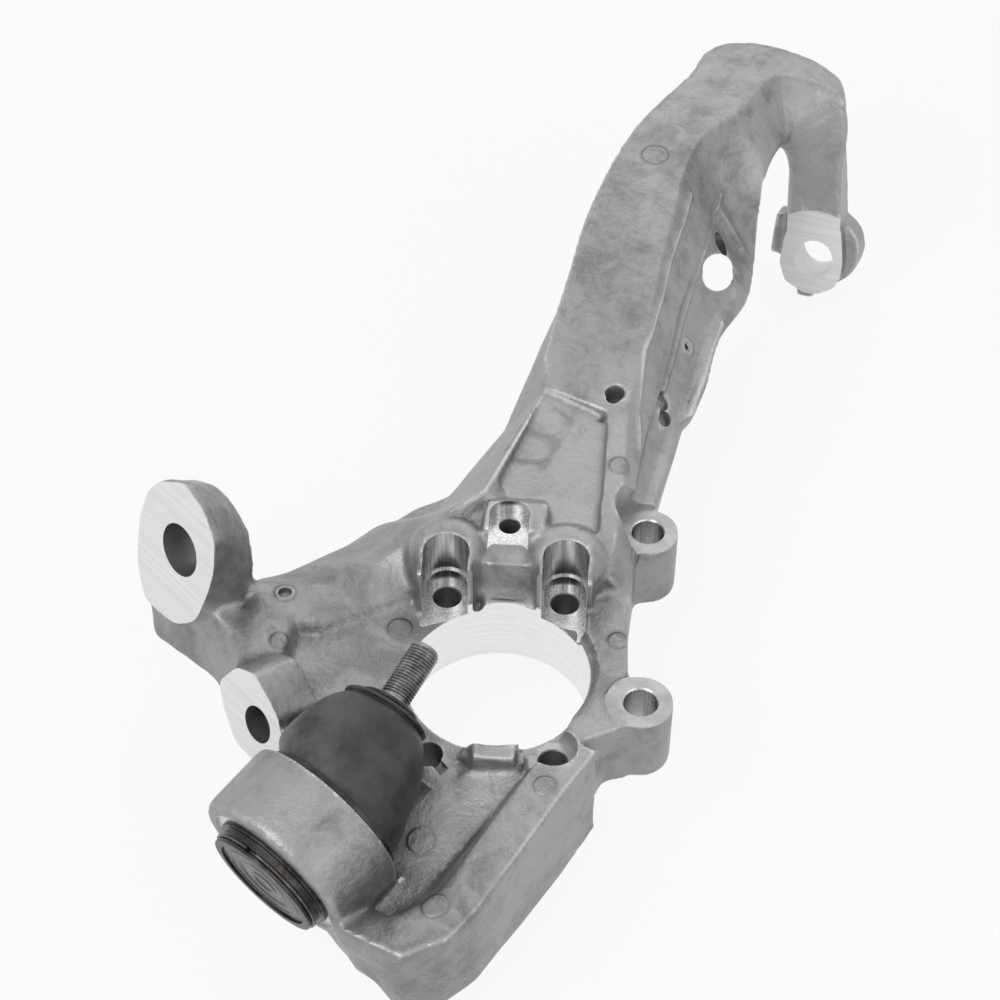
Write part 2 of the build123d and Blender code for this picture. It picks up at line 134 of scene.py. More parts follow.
def turnedPoints(centre, axis, profile, columns=96):
    # profile rows are (radius, distance along the axis); each is swept once round the axis
    x, y, z = frameOf(axis)
    angle = np.linspace(0, 2 * np.pi, columns, endpoint=False)
    radius, along = profile[:, 0, None], profile[:, 1, None]
    return (centre + radius[..., None] * (np.cos(angle)[None, :, None] * x + np.sin(angle)[None, :, None] * y)
            + along[..., None] * z)


def softProfile(corners, rounding=0.5, steps=4):
    # each inner corner becomes a short curve: a quadratic from one leg to the other through the corner
    corners = np.array(corners, float)
    out = [corners[0]]
    for before, here, after in zip(corners[:-2], corners[1:-1], corners[2:]):
        a, b = before - here, after - here
        la, lb = np.linalg.norm(a), np.linalg.norm(b)
        cut = min(rounding, la * 0.45, lb * 0.45)
        start, end = here + a / la * cut, here + b / lb * cut
        t = np.linspace(0, 1, steps + 1)[:, None]
        out += list((1 - t) ** 2 * start + 2 * t * (1 - t) * here + t ** 2 * end)
    out.append(corners[-1])
    return np.array(out)


def smoothStep(t):
    t = np.clip(t, 0, 1)
    return t * t * (3 - 2 * t)


def removed(obj):
    mesh = obj.data
    bpy.data.objects.remove(obj)
    bpy.data.meshes.remove(mesh)


def applied(obj):
    # the object's mesh with its modifiers worked in
    depsgraph = bpy.context.evaluated_depsgraph_get()
    mesh = bpy.data.meshes.new_from_object(obj.evaluated_get(depsgraph))
    old = obj.data
    obj.modifiers.clear()
    obj.data = mesh
    bpy.data.meshes.remove(old)
    return obj


class Shade:
    # one material's nodes; values are wrapped sockets, so that sums and products read as plain maths
    def __init__(self, name, world=None):
        self.material = world or bpy.data.materials.new(name)
        self.material.use_nodes = True
        self.tree = self.material.node_tree
        self.tree.nodes.clear()
        self.out = self.tree.nodes.new("ShaderNodeOutputWorld" if world else "ShaderNodeOutputMaterial")
        self.coords = self.node("ShaderNodeTexCoord").output("Object")

    def node(self, kind, settings=None, **inputs):
        made = self.tree.nodes.new(kind)
        for key, value in (settings or {}).items():
            setattr(made, key, value)
        for key, value in inputs.items():
            name = key.replace("_", " ")
            socket = made.inputs[int(key[1:])] if key[1:].isdigit() and key[0] == "i" else made.inputs[name]
            self.feed(socket, value)
        return Made(self, made)

    def feed(self, socket, value):
        if isinstance(value, Sock):
            self.tree.links.new(value.socket, socket)
        elif socket.type == "RGBA":
            socket.default_value = (*grey(value), 1.0)
        elif socket.type == "VECTOR" and not hasattr(value, "__len__"):
            socket.default_value = (value, value, value)
        else:
            socket.default_value = value

    def noise(self, scale, detail=3.0, roughness=0.55, coords=None, distortion=0.0):
        return self.node("ShaderNodeTexNoise", None, Vector=coords or self.coords, Scale=scale, Detail=detail,
                         Roughness=roughness, Distortion=distortion).output("Fac")

    def between(self, value, low, high):
        # 0 below low, 1 above high, smooth in between
        return self.node("ShaderNodeMapRange", {"interpolation_type": "SMOOTHSTEP"}, Value=value, i1=low, i2=high,
                         i3=0.0, i4=1.0).output("Result")

    def mix(self, factor, first, second):
        made = self.node("ShaderNodeMix", {"data_type": "RGBA"}, i0=factor, i6=first, i7=second)
        return Sock(self, made.raw.outputs[2])

    def bump(self, height, distance, strength=1.0, normal=None):
        inputs = {"Height": height, "Distance": distance, "Strength": strength}
        if normal is not None:
            inputs["Normal"] = normal
        return self.node("ShaderNodeBump", None, **inputs).output("Normal")

    def seenInBackground(self):
        # 1 for the rays that see the background itself: from the camera, off metal and through glass
        path = self.node("ShaderNodeLightPath")
        seen = path.output("Is Camera Ray").larger(path.output("Is Glossy Ray"))
        return seen.larger(path.output("Is Transmission Ray"))

    def finish(self, **inputs):
        shader = self.tree.nodes.new("ShaderNodeBsdfPrincipled")
        for key, value in inputs.items():
            self.feed(shader.inputs[key.replace("_", " ")], value)
        self.tree.links.new(shader.outputs[0], self.out.inputs["Surface"])
        return self.material


class Made:
    def __init__(self, shade, raw):
        self.shade, self.raw = shade, raw

    def output(self, name):
        return Sock(self.shade, self.raw.outputs[name])


class Sock:
    def __init__(self, shade, socket):
        self.shade, self.socket = shade, socket

    def maths(self, operation, a, b):
        return self.shade.node("ShaderNodeMath", {"operation": operation}, i0=a, i1=b).output("Value")

    def __add__(self, other):
        return self.maths("ADD", self, other)

    def __radd__(self, other):
        return self.maths("ADD", other, self)

    def __sub__(self, other):
        return self.maths("SUBTRACT", self, other)

    def __rsub__(self, other):
        return self.maths("SUBTRACT", other, self)

    def __mul__(self, other):
        return self.maths("MULTIPLY", self, other)

    def __rmul__(self, other):
        return self.maths("MULTIPLY", other, self)

    def smaller(self, other):
        return self.maths("MINIMUM", self, other)

    def larger(self, other):
        return self.maths("MAXIMUM", self, other)


def grey(value):
    return (value, value, value) if not hasattr(value, "__len__") else tuple(value)[:3]


# castLook's darkest grey colours stains and also painted shade in hollows and creases; its edge grey is a painted
# highlight on convex edges
castLook = {
    "light": 0.345, "dark": 0.185, "stainAndShade": 0.08, "edge": 0.68, "sparkle": 0.6, "metallic": 0.6,
    "roughness": 0.40, "grain": 0.00045, "markDepth": 0.0006,
    "marks": (  # round ejector marks: x, y, z and radius in millimetres
        (-47.8, 27.2, 31.0, 5.8), (-102.2, 35.6, 42.0, 5.0), (-100.5, 7.3, 40.8, 4.6), (53.5, 18.9, 41.0, 4.6),
        (25.4, -66.6, 42.0, 5.0), (-16.0, -129.6, 39.6, 5.8), (50.0, 108.9, 64.6, 5.0), (59.5, 306.0, 101.4, 7.0),
        (-27.0, -85.0, 21.5, 6.0), (57.0, 70.8, 41.0, 4.6),
    ),
}


def makeCast():
    # two greys by soft noise, stains, painted shade in hollows, painted highlights on edges, and ejector marks as
    # raised discs
    s = Shade("cast_aluminium")
    broad = s.noise(9.0, 4.0, 0.6)
    patch = s.noise(64.0, 5.0, 0.66, distortion=0.5)
    fine = s.noise(900.0, 2.0, 0.6)
    pits = s.noise(330.0, 3.0, 0.5)
    tone = s.between(broad * 0.55 + patch * 0.45, 0.40, 0.60)
    stain = s.between(s.noise(24.0, 6.0, 0.7, distortion=1.2), 0.60, 0.74)
    cloudy = s.between(s.noise(60.0, 6.0, 0.68, distortion=0.8), 0.42, 0.62)
    nearby = s.node("ShaderNodeAmbientOcclusion", {"samples": 6, "only_local": True}, Distance=0.012).output("AO")
    openness = s.between(nearby, 0.2, 0.9)
    curve = s.node("ShaderNodeNewGeometry").output("Pointiness")
    colour = s.mix(tone, castLook["dark"], castLook["light"])
    colour = s.mix(cloudy * 0.45, colour, castLook["light"] * 1.08)
    colour = s.mix(stain * 0.4, colour, castLook["stainAndShade"])
    # painted shade: where ambient occlusion finds a hollow, the colour goes toward the darkest grey
    colour = s.mix((1 - openness) * 0.3, colour, castLook["stainAndShade"])
    # painted shade in concave creases, from low pointiness
    colour = s.mix(s.between(curve, 0.49, 0.44) * 0.35, colour, castLook["stainAndShade"])
    # painted highlight on convex edges, from high pointiness
    colour = s.mix(s.between(curve, 0.51, 0.555) * 0.7, colour, castLook["edge"])
    colour = s.mix(s.between(fine, 0.35, 0.75) * 0.12, colour, castLook["sparkle"])
    rough = castLook["roughness"] + (patch - 0.5) * 0.22 + stain * 0.1
    height = fine * 0.5 + pits * 0.9 + patch * 2.2
    raised, rims = 0.0, 0.0
    for x, y, z, radius in castLook["marks"]:
        away = s.node("ShaderNodeVectorMath", {"operation": "DISTANCE"}, i0=s.coords,
                      i1=(x * mm, y * mm, z * mm)).output("Value")
        disc = s.between(away, (radius + 0.6) * mm, (radius - 0.9) * mm)
        ring = s.between(away, (radius + 2.2) * mm, radius * mm) - disc
        raised, rims = disc + raised, ring.larger(0.0) + rims
    colour = s.mix(rims.smaller(1.0) * s.between(patch, 0.3, 0.6) * 0.5, colour, castLook["stainAndShade"])
    colour = s.mix(raised.smaller(1.0) * s.between(cloudy, 1.0, 0.2) * 0.2, colour, castLook["stainAndShade"])
    normal = s.bump(raised, castLook["markDepth"], 1.0)
    return s.finish(Base_Color=colour, Metallic=castLook["metallic"], Roughness=rough,
                    Normal=s.bump(height, castLook["grain"], 0.75, normal))


cutLook = {
    "base": 0.96, "shade": 0.86, "dull": 0.7,  # bright machined faces
    "polishedLight": 0.62, "polishedDark": 0.40, "milled": 0.44, "boreInShade": 0.2,
}


def makeMachined(name, metallic, roughness):
    # fine lines across the bores' axis, from noise that is stretched flat
    s = Shade(name)
    stretched = s.node("ShaderNodeMapping", None, Vector=s.coords, Scale=(5.0, 5.0, 900.0)).output("Vector")
    lines = s.noise(1.0, 3.0, 0.6, coords=stretched)
    swirl = s.noise(30.0, 3.0, 0.5)
    colour = s.mix(s.between(lines, 0.3, 0.7), cutLook["shade"], cutLook["base"])
    colour = s.mix(s.between(swirl, 0.62, 0.8) * 0.25, colour, cutLook["dull"])
    rough = roughness + lines * 0.16
    return s.finish(Base_Color=colour, Metallic=metallic, Roughness=rough, Normal=s.bump(lines, 0.00010, 0.4))


def makePolished():
    # cutter-polished walls: nearly a mirror, with faint lines along the bolt's axis
    s = Shade("polished_cut")
    stretched = s.node("ShaderNodeMapping", None, Vector=s.coords, Scale=(900.0, 900.0, 25.0)).output("Vector")
    lines = s.noise(1.0, 2.0, 0.5, coords=stretched)
    colour = s.mix(s.between(lines, 0.3, 0.7), cutLook["polishedDark"], cutLook["polishedLight"])
    return s.finish(Base_Color=colour, Metallic=1.0, Roughness=0.20 + lines * 0.12,
                    Normal=s.bump(lines, 0.00008, 0.4))


def makeMilled(name, base):
    # spot faces that have gone as dull as the cast skin; with a near-black base, the same look paints shade on bore
    # walls
    s = Shade(name)
    cloud = s.noise(80.0, 4.0, 0.6)
    rings = s.noise(420.0, 2.0, 0.5)
    colour = s.mix(s.between(cloud, 0.35, 0.65), base * 0.85, base * 1.15)
    return s.finish(Base_Color=colour, Metallic=0.5, Roughness=0.36 + cloud * 0.1,
                    Normal=s.bump(rings, 0.00015, 0.4))


steelLook = {"rust": (0.17, 0.13, 0.11)}


def makeDarkSteel(name, base, roughness, rust=0.0):
    # cloudy dark grey with paler specks, and patches of rust where it has any
    s = Shade(name)
    cloud = s.noise(120.0, 4.0, 0.6)
    speck = s.noise(520.0, 3.0, 0.6)
    colour = s.mix(s.between(cloud, 0.35, 0.7), base * 0.55, base * 1.35)
    if rust:
        patch = s.between(s.noise(90.0, 5.0, 0.65, distortion=0.6), 0.52, 0.66) * rust
        colour = s.mix(patch, colour, steelLook["rust"])
    colour = s.mix(s.between(speck, 0.6, 0.8) * 0.35, colour, base * 2.4)
    return s.finish(Base_Color=colour, Metallic=0.7, Roughness=roughness + (cloud - 0.5) * 0.25,
                    Normal=s.bump(speck + cloud * 2.0, 0.00012, 0.6))


rubberLook = {"black": 0.018, "worn": 0.06, "blotches": 0.14, "plainFrom": -45.0, "palestFrom": -90.0}


def makeRubber():
    # black and worn grey by noise, with paler grey blotches that fade in towards -X, from x = -45 mm to -90 mm
    s = Shade("boot_rubber")
    blotches = s.noise(70.0, 4.0, 0.6)
    grain = s.noise(1400.0, 2.0, 0.5)
    across = s.node("ShaderNodeSeparateXYZ", None, Vector=s.coords).output("X")
    side = s.between(across, rubberLook["plainFrom"] * mm, rubberLook["palestFrom"] * mm)
    colour = s.mix(s.between(blotches, 0.38, 0.68), rubberLook["black"], rubberLook["worn"])
    colour = s.mix(side * s.between(blotches, 0.3, 0.6) * 0.8, colour, rubberLook["blotches"])
    return s.finish(Base_Color=colour, Roughness=0.5 + (blotches - 0.5) * 0.3,
                    Normal=s.bump(grain + blotches * 3.0, 0.00008, 0.5))


def makePlastic():
    s = Shade("seat_plastic")
    grain = s.noise(400.0, 2.0, 0.5)
    return s.finish(Base_Color=s.mix(grain, 0.62, 0.7), Roughness=0.5)


castMetal = makeCast()
polishedMetal = makePolished()
machinedMetal = makeMachined("machined_aluminium", 0.25, 0.32)
boreMetal = makeMachined("machined_bore", 0.9, 0.24)
milledMetal = makeMilled("milled_face", cutLook["milled"])
# the bore walls' near-black base is painted shade, as those holes lie in shadow
shadedBoreMetal = makeMilled("bore_in_shade", cutLook["boreInShade"])
sleeveMetal = makeDarkSteel("sleeve_steel", 0.05, 0.36, rust=0.35)
plateMetal = makeDarkSteel("plate_steel", 0.022, 0.28, rust=0.12)
studMetal = makeDarkSteel("stud_steel", 0.27, 0.30)
clipMetal = makeDarkSteel("clip_steel", 0.14, 0.4)
ringMetal = makeDarkSteel("boot_ring_steel", 0.05, 0.35)
rubber = makeRubber()
plastic = makePlastic()
print("stage: materials made")


casting = {
    "voxel": 1.35, "smoothing": 8, "flankSmoothing": 60, "endSmoothing": 30, "keepTriangles": 170000,
    "hubRadius": 42.0, "hubTop": 31.0, "lipTop": 37.0, "flangeRelief": 61.0,
    "boltRadius": 6.5, "channelRadius": 10.8, "channelFoot": 9.7, "channelStep": 39.0,
    "lugHole": 7.6, "lugFace": 42.0, "lugRadius": 14.6,
    "seatFloor": 58.0, "seatHalf": 9.5, "seatLow": 54.0, "sensorHole": 4.75, "sensorY": 71.0,
    "sleeveBore": 27.0, "ringRadius": 40.0, "ringLow": -14.0, "ringHigh": 18.0,
    "upperOutline": ((-20.8, 26), (-28.4, 15.7), (-31.6, -1), (-30, -24), (-20, -43), (4, -41), (18.3, -29),
                     (23, -13.4), (25.5, 4), (23, 20), (12, 31), (-4, 36)),
    "lowerOutline": ((-20, 19), (-30, 3), (-24, -8), (-11, -21), (6, -18), (15, -4), (13, 12), (4, 18), (-8, 24)),
    "endOutline": ((-19, 8), (-19, -6), (-14, -16), (-2, -21), (6, -20), (14, -15), (17, -8), (16.6, 2), (12.7, 19),
                   (-16.4, 22)),
    "wedge": ((36, 20), (48, 20), (48, 44.5), (40.5, 34), (36, 34)), "wedgeLow": -10.0, "wedgeHigh": 18.0,
    "pocket": ((-7.5, 97), (-2, 88), (42.5, 88), (43, 137), (38, 145), (11, 158.5), (8, 150), (5, 137), (-1.5, 116)),
    "pocketFloor": 57.0, "pocketFoot": 88.0, "pocketTilt": 5.2,
    "ramp": ((-104, 5), (-44, 5), (-44, 30.5), (-58, 29), (-104, 16)), "rampLow": -43.0, "rampHigh": -10.0,
    "swingClear": (-20, -17, -14), "neckClear": 15.1, "neckLow": 70.3, "neckHigh": 75.4,
    "upperHole": 13.0, "upperDepth": 60.0, "upperReach": 52.0,
    "lowerHole": 9.0, "lowerDepth": 34.0, "lowerReach": 31.0,
    "clampBore": 11.0, "clampReach": 30.0, "sleeveSeat": 33.5, "proud": 1.5, "solid": 3.0, "sharpAngle": 38.0,
}
castHoles = (  # small cast hollows: place, axis, radius, and the rod's low and high ends
    ((95.0, 251.5, 66.0), direction(3.6, -39.0), 8.0, -30, 90),  # the arm's window, two rods long
    ((45.6, 155.6, 66.0), (0.0, 0.0, 1.0), 4.6, -6, 12),
    ((95.0, 257.5, 66.0), direction(3.6, -39.0), 8.0, -30, 90),
    ((70.6, 166.5, 55.0), direction(90, 46), 4.6, -3, 8),
    ((70.6, 158.7, 50.0), direction(110, 45), 4.6, -3, 9),
    ((45.0, 152.2, 66.0), (0.0, 0.0, 1.0), 3.7, -3, 12),
    ((80.4, 206.7, 55.4), direction(107, 40), 1.6, -1.8, 12),
    ((-102.2, 35.6, 42.0), (0.0, 0.0, 1.0), 3.3, -2.5, 12),
)
# this hollow's wall takes the near-black bore material: painted shade
shadedHollow = ((98.0, 287.5, 59.0), direction(95, 33), 6.8, -14, 14)


def rod(name, centre, axis, radius, low, high, material=None, chamferAt=None, chamfer=0.0, columns=96):
    # closed round bar; where chamferAt is given, it opens by the chamfer there and stays that wide beyond
    profile = [(0, low), (radius, low)]
    if chamferAt is not None:
        profile += [(radius, chamferAt - chamfer), (radius + chamfer, chamferAt), (radius + chamfer, high)]
    else:
        profile += [(radius, high)]
    profile += [(0, high)]
    return gridMesh(name, turnedPoints(centre, axis, np.array(profile, float), columns)[::-1, ::-1], material)


def brick(name, centre, size, material=None):
    # upright box with its middle at the centre
    x, y, z = np.array(size) / 2
    base = np.array([[-x, -y], [x, -y], [x, y], [-x, y]])
    rows = [centre + np.column_stack([base, np.full(4, h)]) for h in (-z, z)]
    return gridMesh(name, np.array(rows), material, capEnds=True)


castDetail = {
    "bulges": (((89, 400, 100), 17, (-4, 5, 0)),),  # place, reach and shift
    "rails": (  # the straight-sided arm's three long edges: each is rounded to a curve through the same points
        ((12, 159, 66), (9, 175, 72), (19, 228, 88), (28, 272, 97), (47, 327, 103), (73, 375, 104),
         (107, 417, 101), (158, 404, 92), (169, 396, 50), (174, 380, 10)),
        ((50, 140, 66.5), (57, 169, 72), (63, 219, 88), (70, 261, 97), (80, 314, 103), (104, 346, 104),
         (127, 383, 103), (164, 374, 90), (164.5, 357, 50), (168, 353, 10)),
        ((60, 135, 52), (87, 171, 44), (98, 223, 45), (113, 260, 44), (118, 304, 35), (122, 328, 74), (132, 355, 78),
         (136, 362, 66), (136, 363, 50), (138, 360, 10)),
    ),
    "rings": (((80.4, 206.7, 55.4), (0.74, -0.22, 0.64), 3.6, 1.1, 1.3),),  # centre, axis, radius, height, half width
    "ridges": (  # height, half width and the points that the ridge follows; a groove has a height below 0
        (1.3, 1.5, ((80, 285, 92), (74, 258, 90), (70, 236, 87), (66, 212, 81), (62, 193, 77), (59, 182, 75),
                    (58, 165, 69), (58, 145, 62), (58.5, 126, 59))),
        (1.4, 1.5, ((96, 309, 74), (92, 291, 69), (86.5, 260, 74), (82.7, 242, 67), (76.7, 215, 62.7),
                    (73, 195, 59.6), (69, 171, 57), (66.5, 157, 53))),
        (1.3, 1.4, ((99, 233, 48.6), (94, 214, 47.6), (88, 188, 46.7), (84, 167, 45), (80, 150, 44))),
        (-0.8, 1.4, ((92, 222, 50.5), (87.3, 207.5, 49.7), (84, 190, 48.2), (80.5, 169, 46.8))),
        (-0.5, 1.2, ((59, 326, 103), (70, 320, 101), (83, 312, 97))),
    ),
}


def prism(name, centre, axis, across, outline, low, high, material=None):
    # closed bar; its outline runs anticlockwise, measured across and up the plane that is square to the axis
    x, y, z = frameOf(axis, across)
    flat = np.array(outline, float)
    rows = [centre + flat[:, :1] * x + flat[:, 1:] * y + h * z for h in (low, high)]
    return gridMesh(name, np.array(rows), material, capEnds=True)


def catmullRom(a, b, c, d, t):
    # the curve that passes b at t = 0 and c at t = 1, heading along c - a and then along d - b
    return 0.5 * (2 * b + (c - a) * t + (2 * a - 5 * b + 4 * c - d) * t ** 2 + (3 * b - a - 3 * c + d) * t ** 3)


def railShift(co):
    # for each rail: the nearest place on its straight legs, and there the step to the Catmull-Rom curve through the
    # same points; the steps are weighed by how near each rail is, and fade out below the arm
    total, weights = np.zeros_like(co), np.full(len(co), 1e-9)
    for rail in castDetail["rails"]:
        rail = np.array(rail, float)
        padded = np.concatenate([2 * rail[:1] - rail[1:2], rail, 2 * rail[-1:] - rail[-2:-1]])
        best, step = np.full(len(co), 1e9), np.zeros_like(co)
        for p0, p1, p2, p3 in zip(padded[:-3], padded[1:-2], padded[2:-1], padded[3:]):
            leg = p2 - p1
            t = np.clip((co - p1) @ leg / (leg @ leg), 0, 1)[:, None]
            straight = p1 + t * leg
            curve = catmullRom(p0, p1, p2, p3, t)
            away = np.linalg.norm(co - straight, axis=1)
            near = away < best
            best[near], step[near] = away[near], (curve - straight)[near]
        share = 1 / (best ** 2 + 4)
        total += step * share[:, None]
        weights += share
    fade = smoothStep((co[:, 1] - 168) / 30) * smoothStep((co[:, 2] - 14) / 14)
    return total / weights[:, None] * fade[:, None]


def shapeSkin(mesh):
    # each point moves by a bell-shaped share of a bulge's shift, and along its normal by the ridges near it
    count = len(mesh.data.vertices)
    co, normal = np.empty(count * 3), np.empty(count * 3)
    mesh.data.vertices.foreach_get("co", co)
    mesh.data.vertices.foreach_get("normal", normal)
    co, normal = co.reshape(-1, 3) / mm, normal.reshape(-1, 3)
    moved = co + railShift(co)
    for centre, axis, radius, height, width in castDetail["rings"]:
        away = co - np.array(centre)
        rise = away @ unit(np.array(axis))
        out = np.sqrt(np.maximum((away ** 2).sum(axis=1) - rise ** 2, 0)) - radius
        moved += (height * np.exp(-(out ** 2 + rise ** 2) / width ** 2))[:, None] * normal
    for at, reach, shift in castDetail["bulges"]:
        away = np.linalg.norm(co - np.array(at), axis=1) / reach
        moved += np.exp(-away ** 2)[:, None] * np.array(shift)
    for height, width, line in castDetail["ridges"]:
        line = np.array(line, float)
        away = np.full(count, 1e9)
        for a, b in zip(line[:-1], line[1:]):
            share = np.clip((co - a) @ (b - a) / ((b - a) @ (b - a)), 0, 1)
            away = np.minimum(away, np.linalg.norm(co - a - share[:, None] * (b - a), axis=1))
        moved += (height * np.exp(-(away / width) ** 2))[:, None] * normal
    mesh.data.vertices.foreach_set("co", (moved * mm).ravel())
    mesh.data.update()


def castSkin():
    # the CAD casting with its holes filled, remeshed in small voxels and smoothed, so that every edge is a cast one
    c, p = casting, places
    straightX, straightY = np.array([1.0, 0, 0]), np.array([0, 1.0, 0])
    source = nodes["knuckle_casting"]
    body = bpy.data.objects.new("cast_skin", source.data.copy())
    bpy.context.scene.collection.objects.link(body)
    mergeDoubles(body.data, 1e-5)
    fill = [rod("fill", np.zeros(3), up, c["hubRadius"] + 2, -c["proud"], c["hubTop"] - 0.4)]
    for sx in (-1, 1):
        for sy in (-1, 1):
            at = np.array([sx * p["boltX"], sy * p["boltY"] + p["boltShiftY"], 0])
            fill.append(rod("fill", at, up, c["boltRadius"] + c["solid"], -c["proud"], c["hubTop"]))
        at = np.array([sx * p["boltX"], p["boltY"] + p["boltShiftY"], 0])
        fill.append(rod("fill", at, up, c["channelRadius"] + 2, 2, 61))
        fill.append(brick("fill", at + np.array([0, -6, 31]), (2 * c["channelRadius"] + 4, 12, 56)))
    for s in (-1, 1):
        at = np.array([p["caliperX"], p["caliperY"] + s * p["caliperHalf"], 0])
        fill.append(rod("fill", at, up, c["lugRadius"], 7, c["lugFace"] + 2))
    fill.append(rod("fill", p["jointCentre"], p["jointAxis"], c["ringRadius"] - 0.5,
                    c["ringLow"] - c["proud"], c["ringHigh"] + c["proud"]))
    lugAcross = np.cross(up, p["lugAxis"])
    fill.append(rod("fill", p["upperLug"], p["lugAxis"], c["upperHole"] + c["solid"], -24, 2))
    fill.append(prism("fill", p["upperLug"], p["lugAxis"], lugAcross, c["upperOutline"], -6, 3.5))
    fill.append(rod("fill", p["lowerLug"], p["lugAxis"], c["lowerHole"] + c["solid"], -24, 2))
    fill.append(prism("fill", p["lowerLug"], p["lugAxis"], lugAcross, c["lowerOutline"], -6, 3.5))
    fill.append(rod("fill", p["clampCentre"], p["clampAxis"], c["clampBore"] + c["solid"], -2, 31))
    fill.append(prism("fill", p["clampCentre"], -p["clampAxis"], np.array([0.966, -0.259, 0]), c["endOutline"],
                      -6, 3.5))
    fill.append(brick("fill", np.array([0, 68, 58]), (24, 14, 15)))
    fill.append(prism("fill", np.zeros(3), straightX, straightY, c["wedge"], c["wedgeLow"], c["wedgeHigh"]))
    fill.append(prism("fill", np.zeros(3), straightX, straightY, c["ramp"], c["rampLow"], c["rampHigh"]))
    tilt = math.radians(c["pocketTilt"])
    foot = np.array([0, c["pocketFoot"], c["pocketFloor"]])
    slope = np.array([0, -math.sin(tilt), math.cos(tilt)])
    outline = np.array(c["pocket"]) - (0, c["pocketFoot"])
    fill.append(prism("fill", foot, slope, straightX, outline, -8, 0))
    pocket = prism("pocket", foot, slope, straightX, outline, 0, 35)
    hollow = body.modifiers.new("pocket", "BOOLEAN")
    hollow.operation, hollow.object, hollow.solver = "DIFFERENCE", pocket, "EXACT"
    applied(body)
    removed(pocket)
    mesh = joined(body, fill)
    remesh = mesh.modifiers.new("remesh", "REMESH")
    remesh.mode, remesh.voxel_size = "VOXEL", c["voxel"] * mm
    applied(mesh)
    co = np.empty(len(mesh.data.vertices) * 3)
    mesh.data.vertices.foreach_get("co", co)
    co = co.reshape(-1, 3) / mm
    x, y, z = co.T
    addWeights(mesh, "flank", smoothStep((-22 - x) / 25) * smoothStep((y + 5) / 25) * smoothStep((58 - z) / 12))
    lugs, foot = smoothStep((-88 - x) / 20), smoothStep((-98 - y) / 20)
    head = smoothStep((y - 325) / 30) * smoothStep((z - 25) / 20)
    addWeights(mesh, "ends", np.maximum(np.maximum(lugs, foot), head))
    for name, rounds in (("", c["smoothing"]), ("flank", c["flankSmoothing"]), ("ends", c["endSmoothing"])):
        smooth = mesh.modifiers.new("smooth" + name, "SMOOTH")
        smooth.factor, smooth.iterations, smooth.vertex_group = 0.5, rounds, name
    applied(mesh)
    shapeSkin(mesh)
    print("stage: cast skin has", len(mesh.data.polygons), "faces")
    return mesh


def addWeights(obj, name, weights):
    # weights go in by steps of a tenth, one call for each step
    group = obj.vertex_groups.new(name=name)
    steps = np.round(weights * 10).astype(int)
    for step in range(1, 11):
        group.add(np.flatnonzero(steps == step).tolist(), step / 10, "REPLACE")


def joined(first, others):
    # several closed meshes in one, their vertices and faces laid end to end
    points, faces, start = [], [], 0
    for obj in [first, *others]:
        mesh = obj.data
        co = np.empty(len(mesh.vertices) * 3)
        mesh.vertices.foreach_get("co", co)
        corners = np.empty(len(mesh.loops), dtype=np.int32)
        mesh.loops.foreach_get("vertex_index", corners)
        starts = np.empty(len(mesh.polygons), dtype=np.int32)
        mesh.polygons.foreach_get("loop_start", starts)
        points.append(co.reshape(-1, 3))
        faces += [face.tolist() for face in np.split(corners + start, starts[1:])]
        start += len(mesh.vertices)
    mesh = bpy.data.meshes.new(first.name)
    mesh.from_pydata(np.concatenate(points).tolist(), [], faces)
    for obj in [first, *others]:
        removed(obj)
    made = bpy.data.objects.new("cast_skin", mesh)
    bpy.context.scene.collection.objects.link(made)
    return made


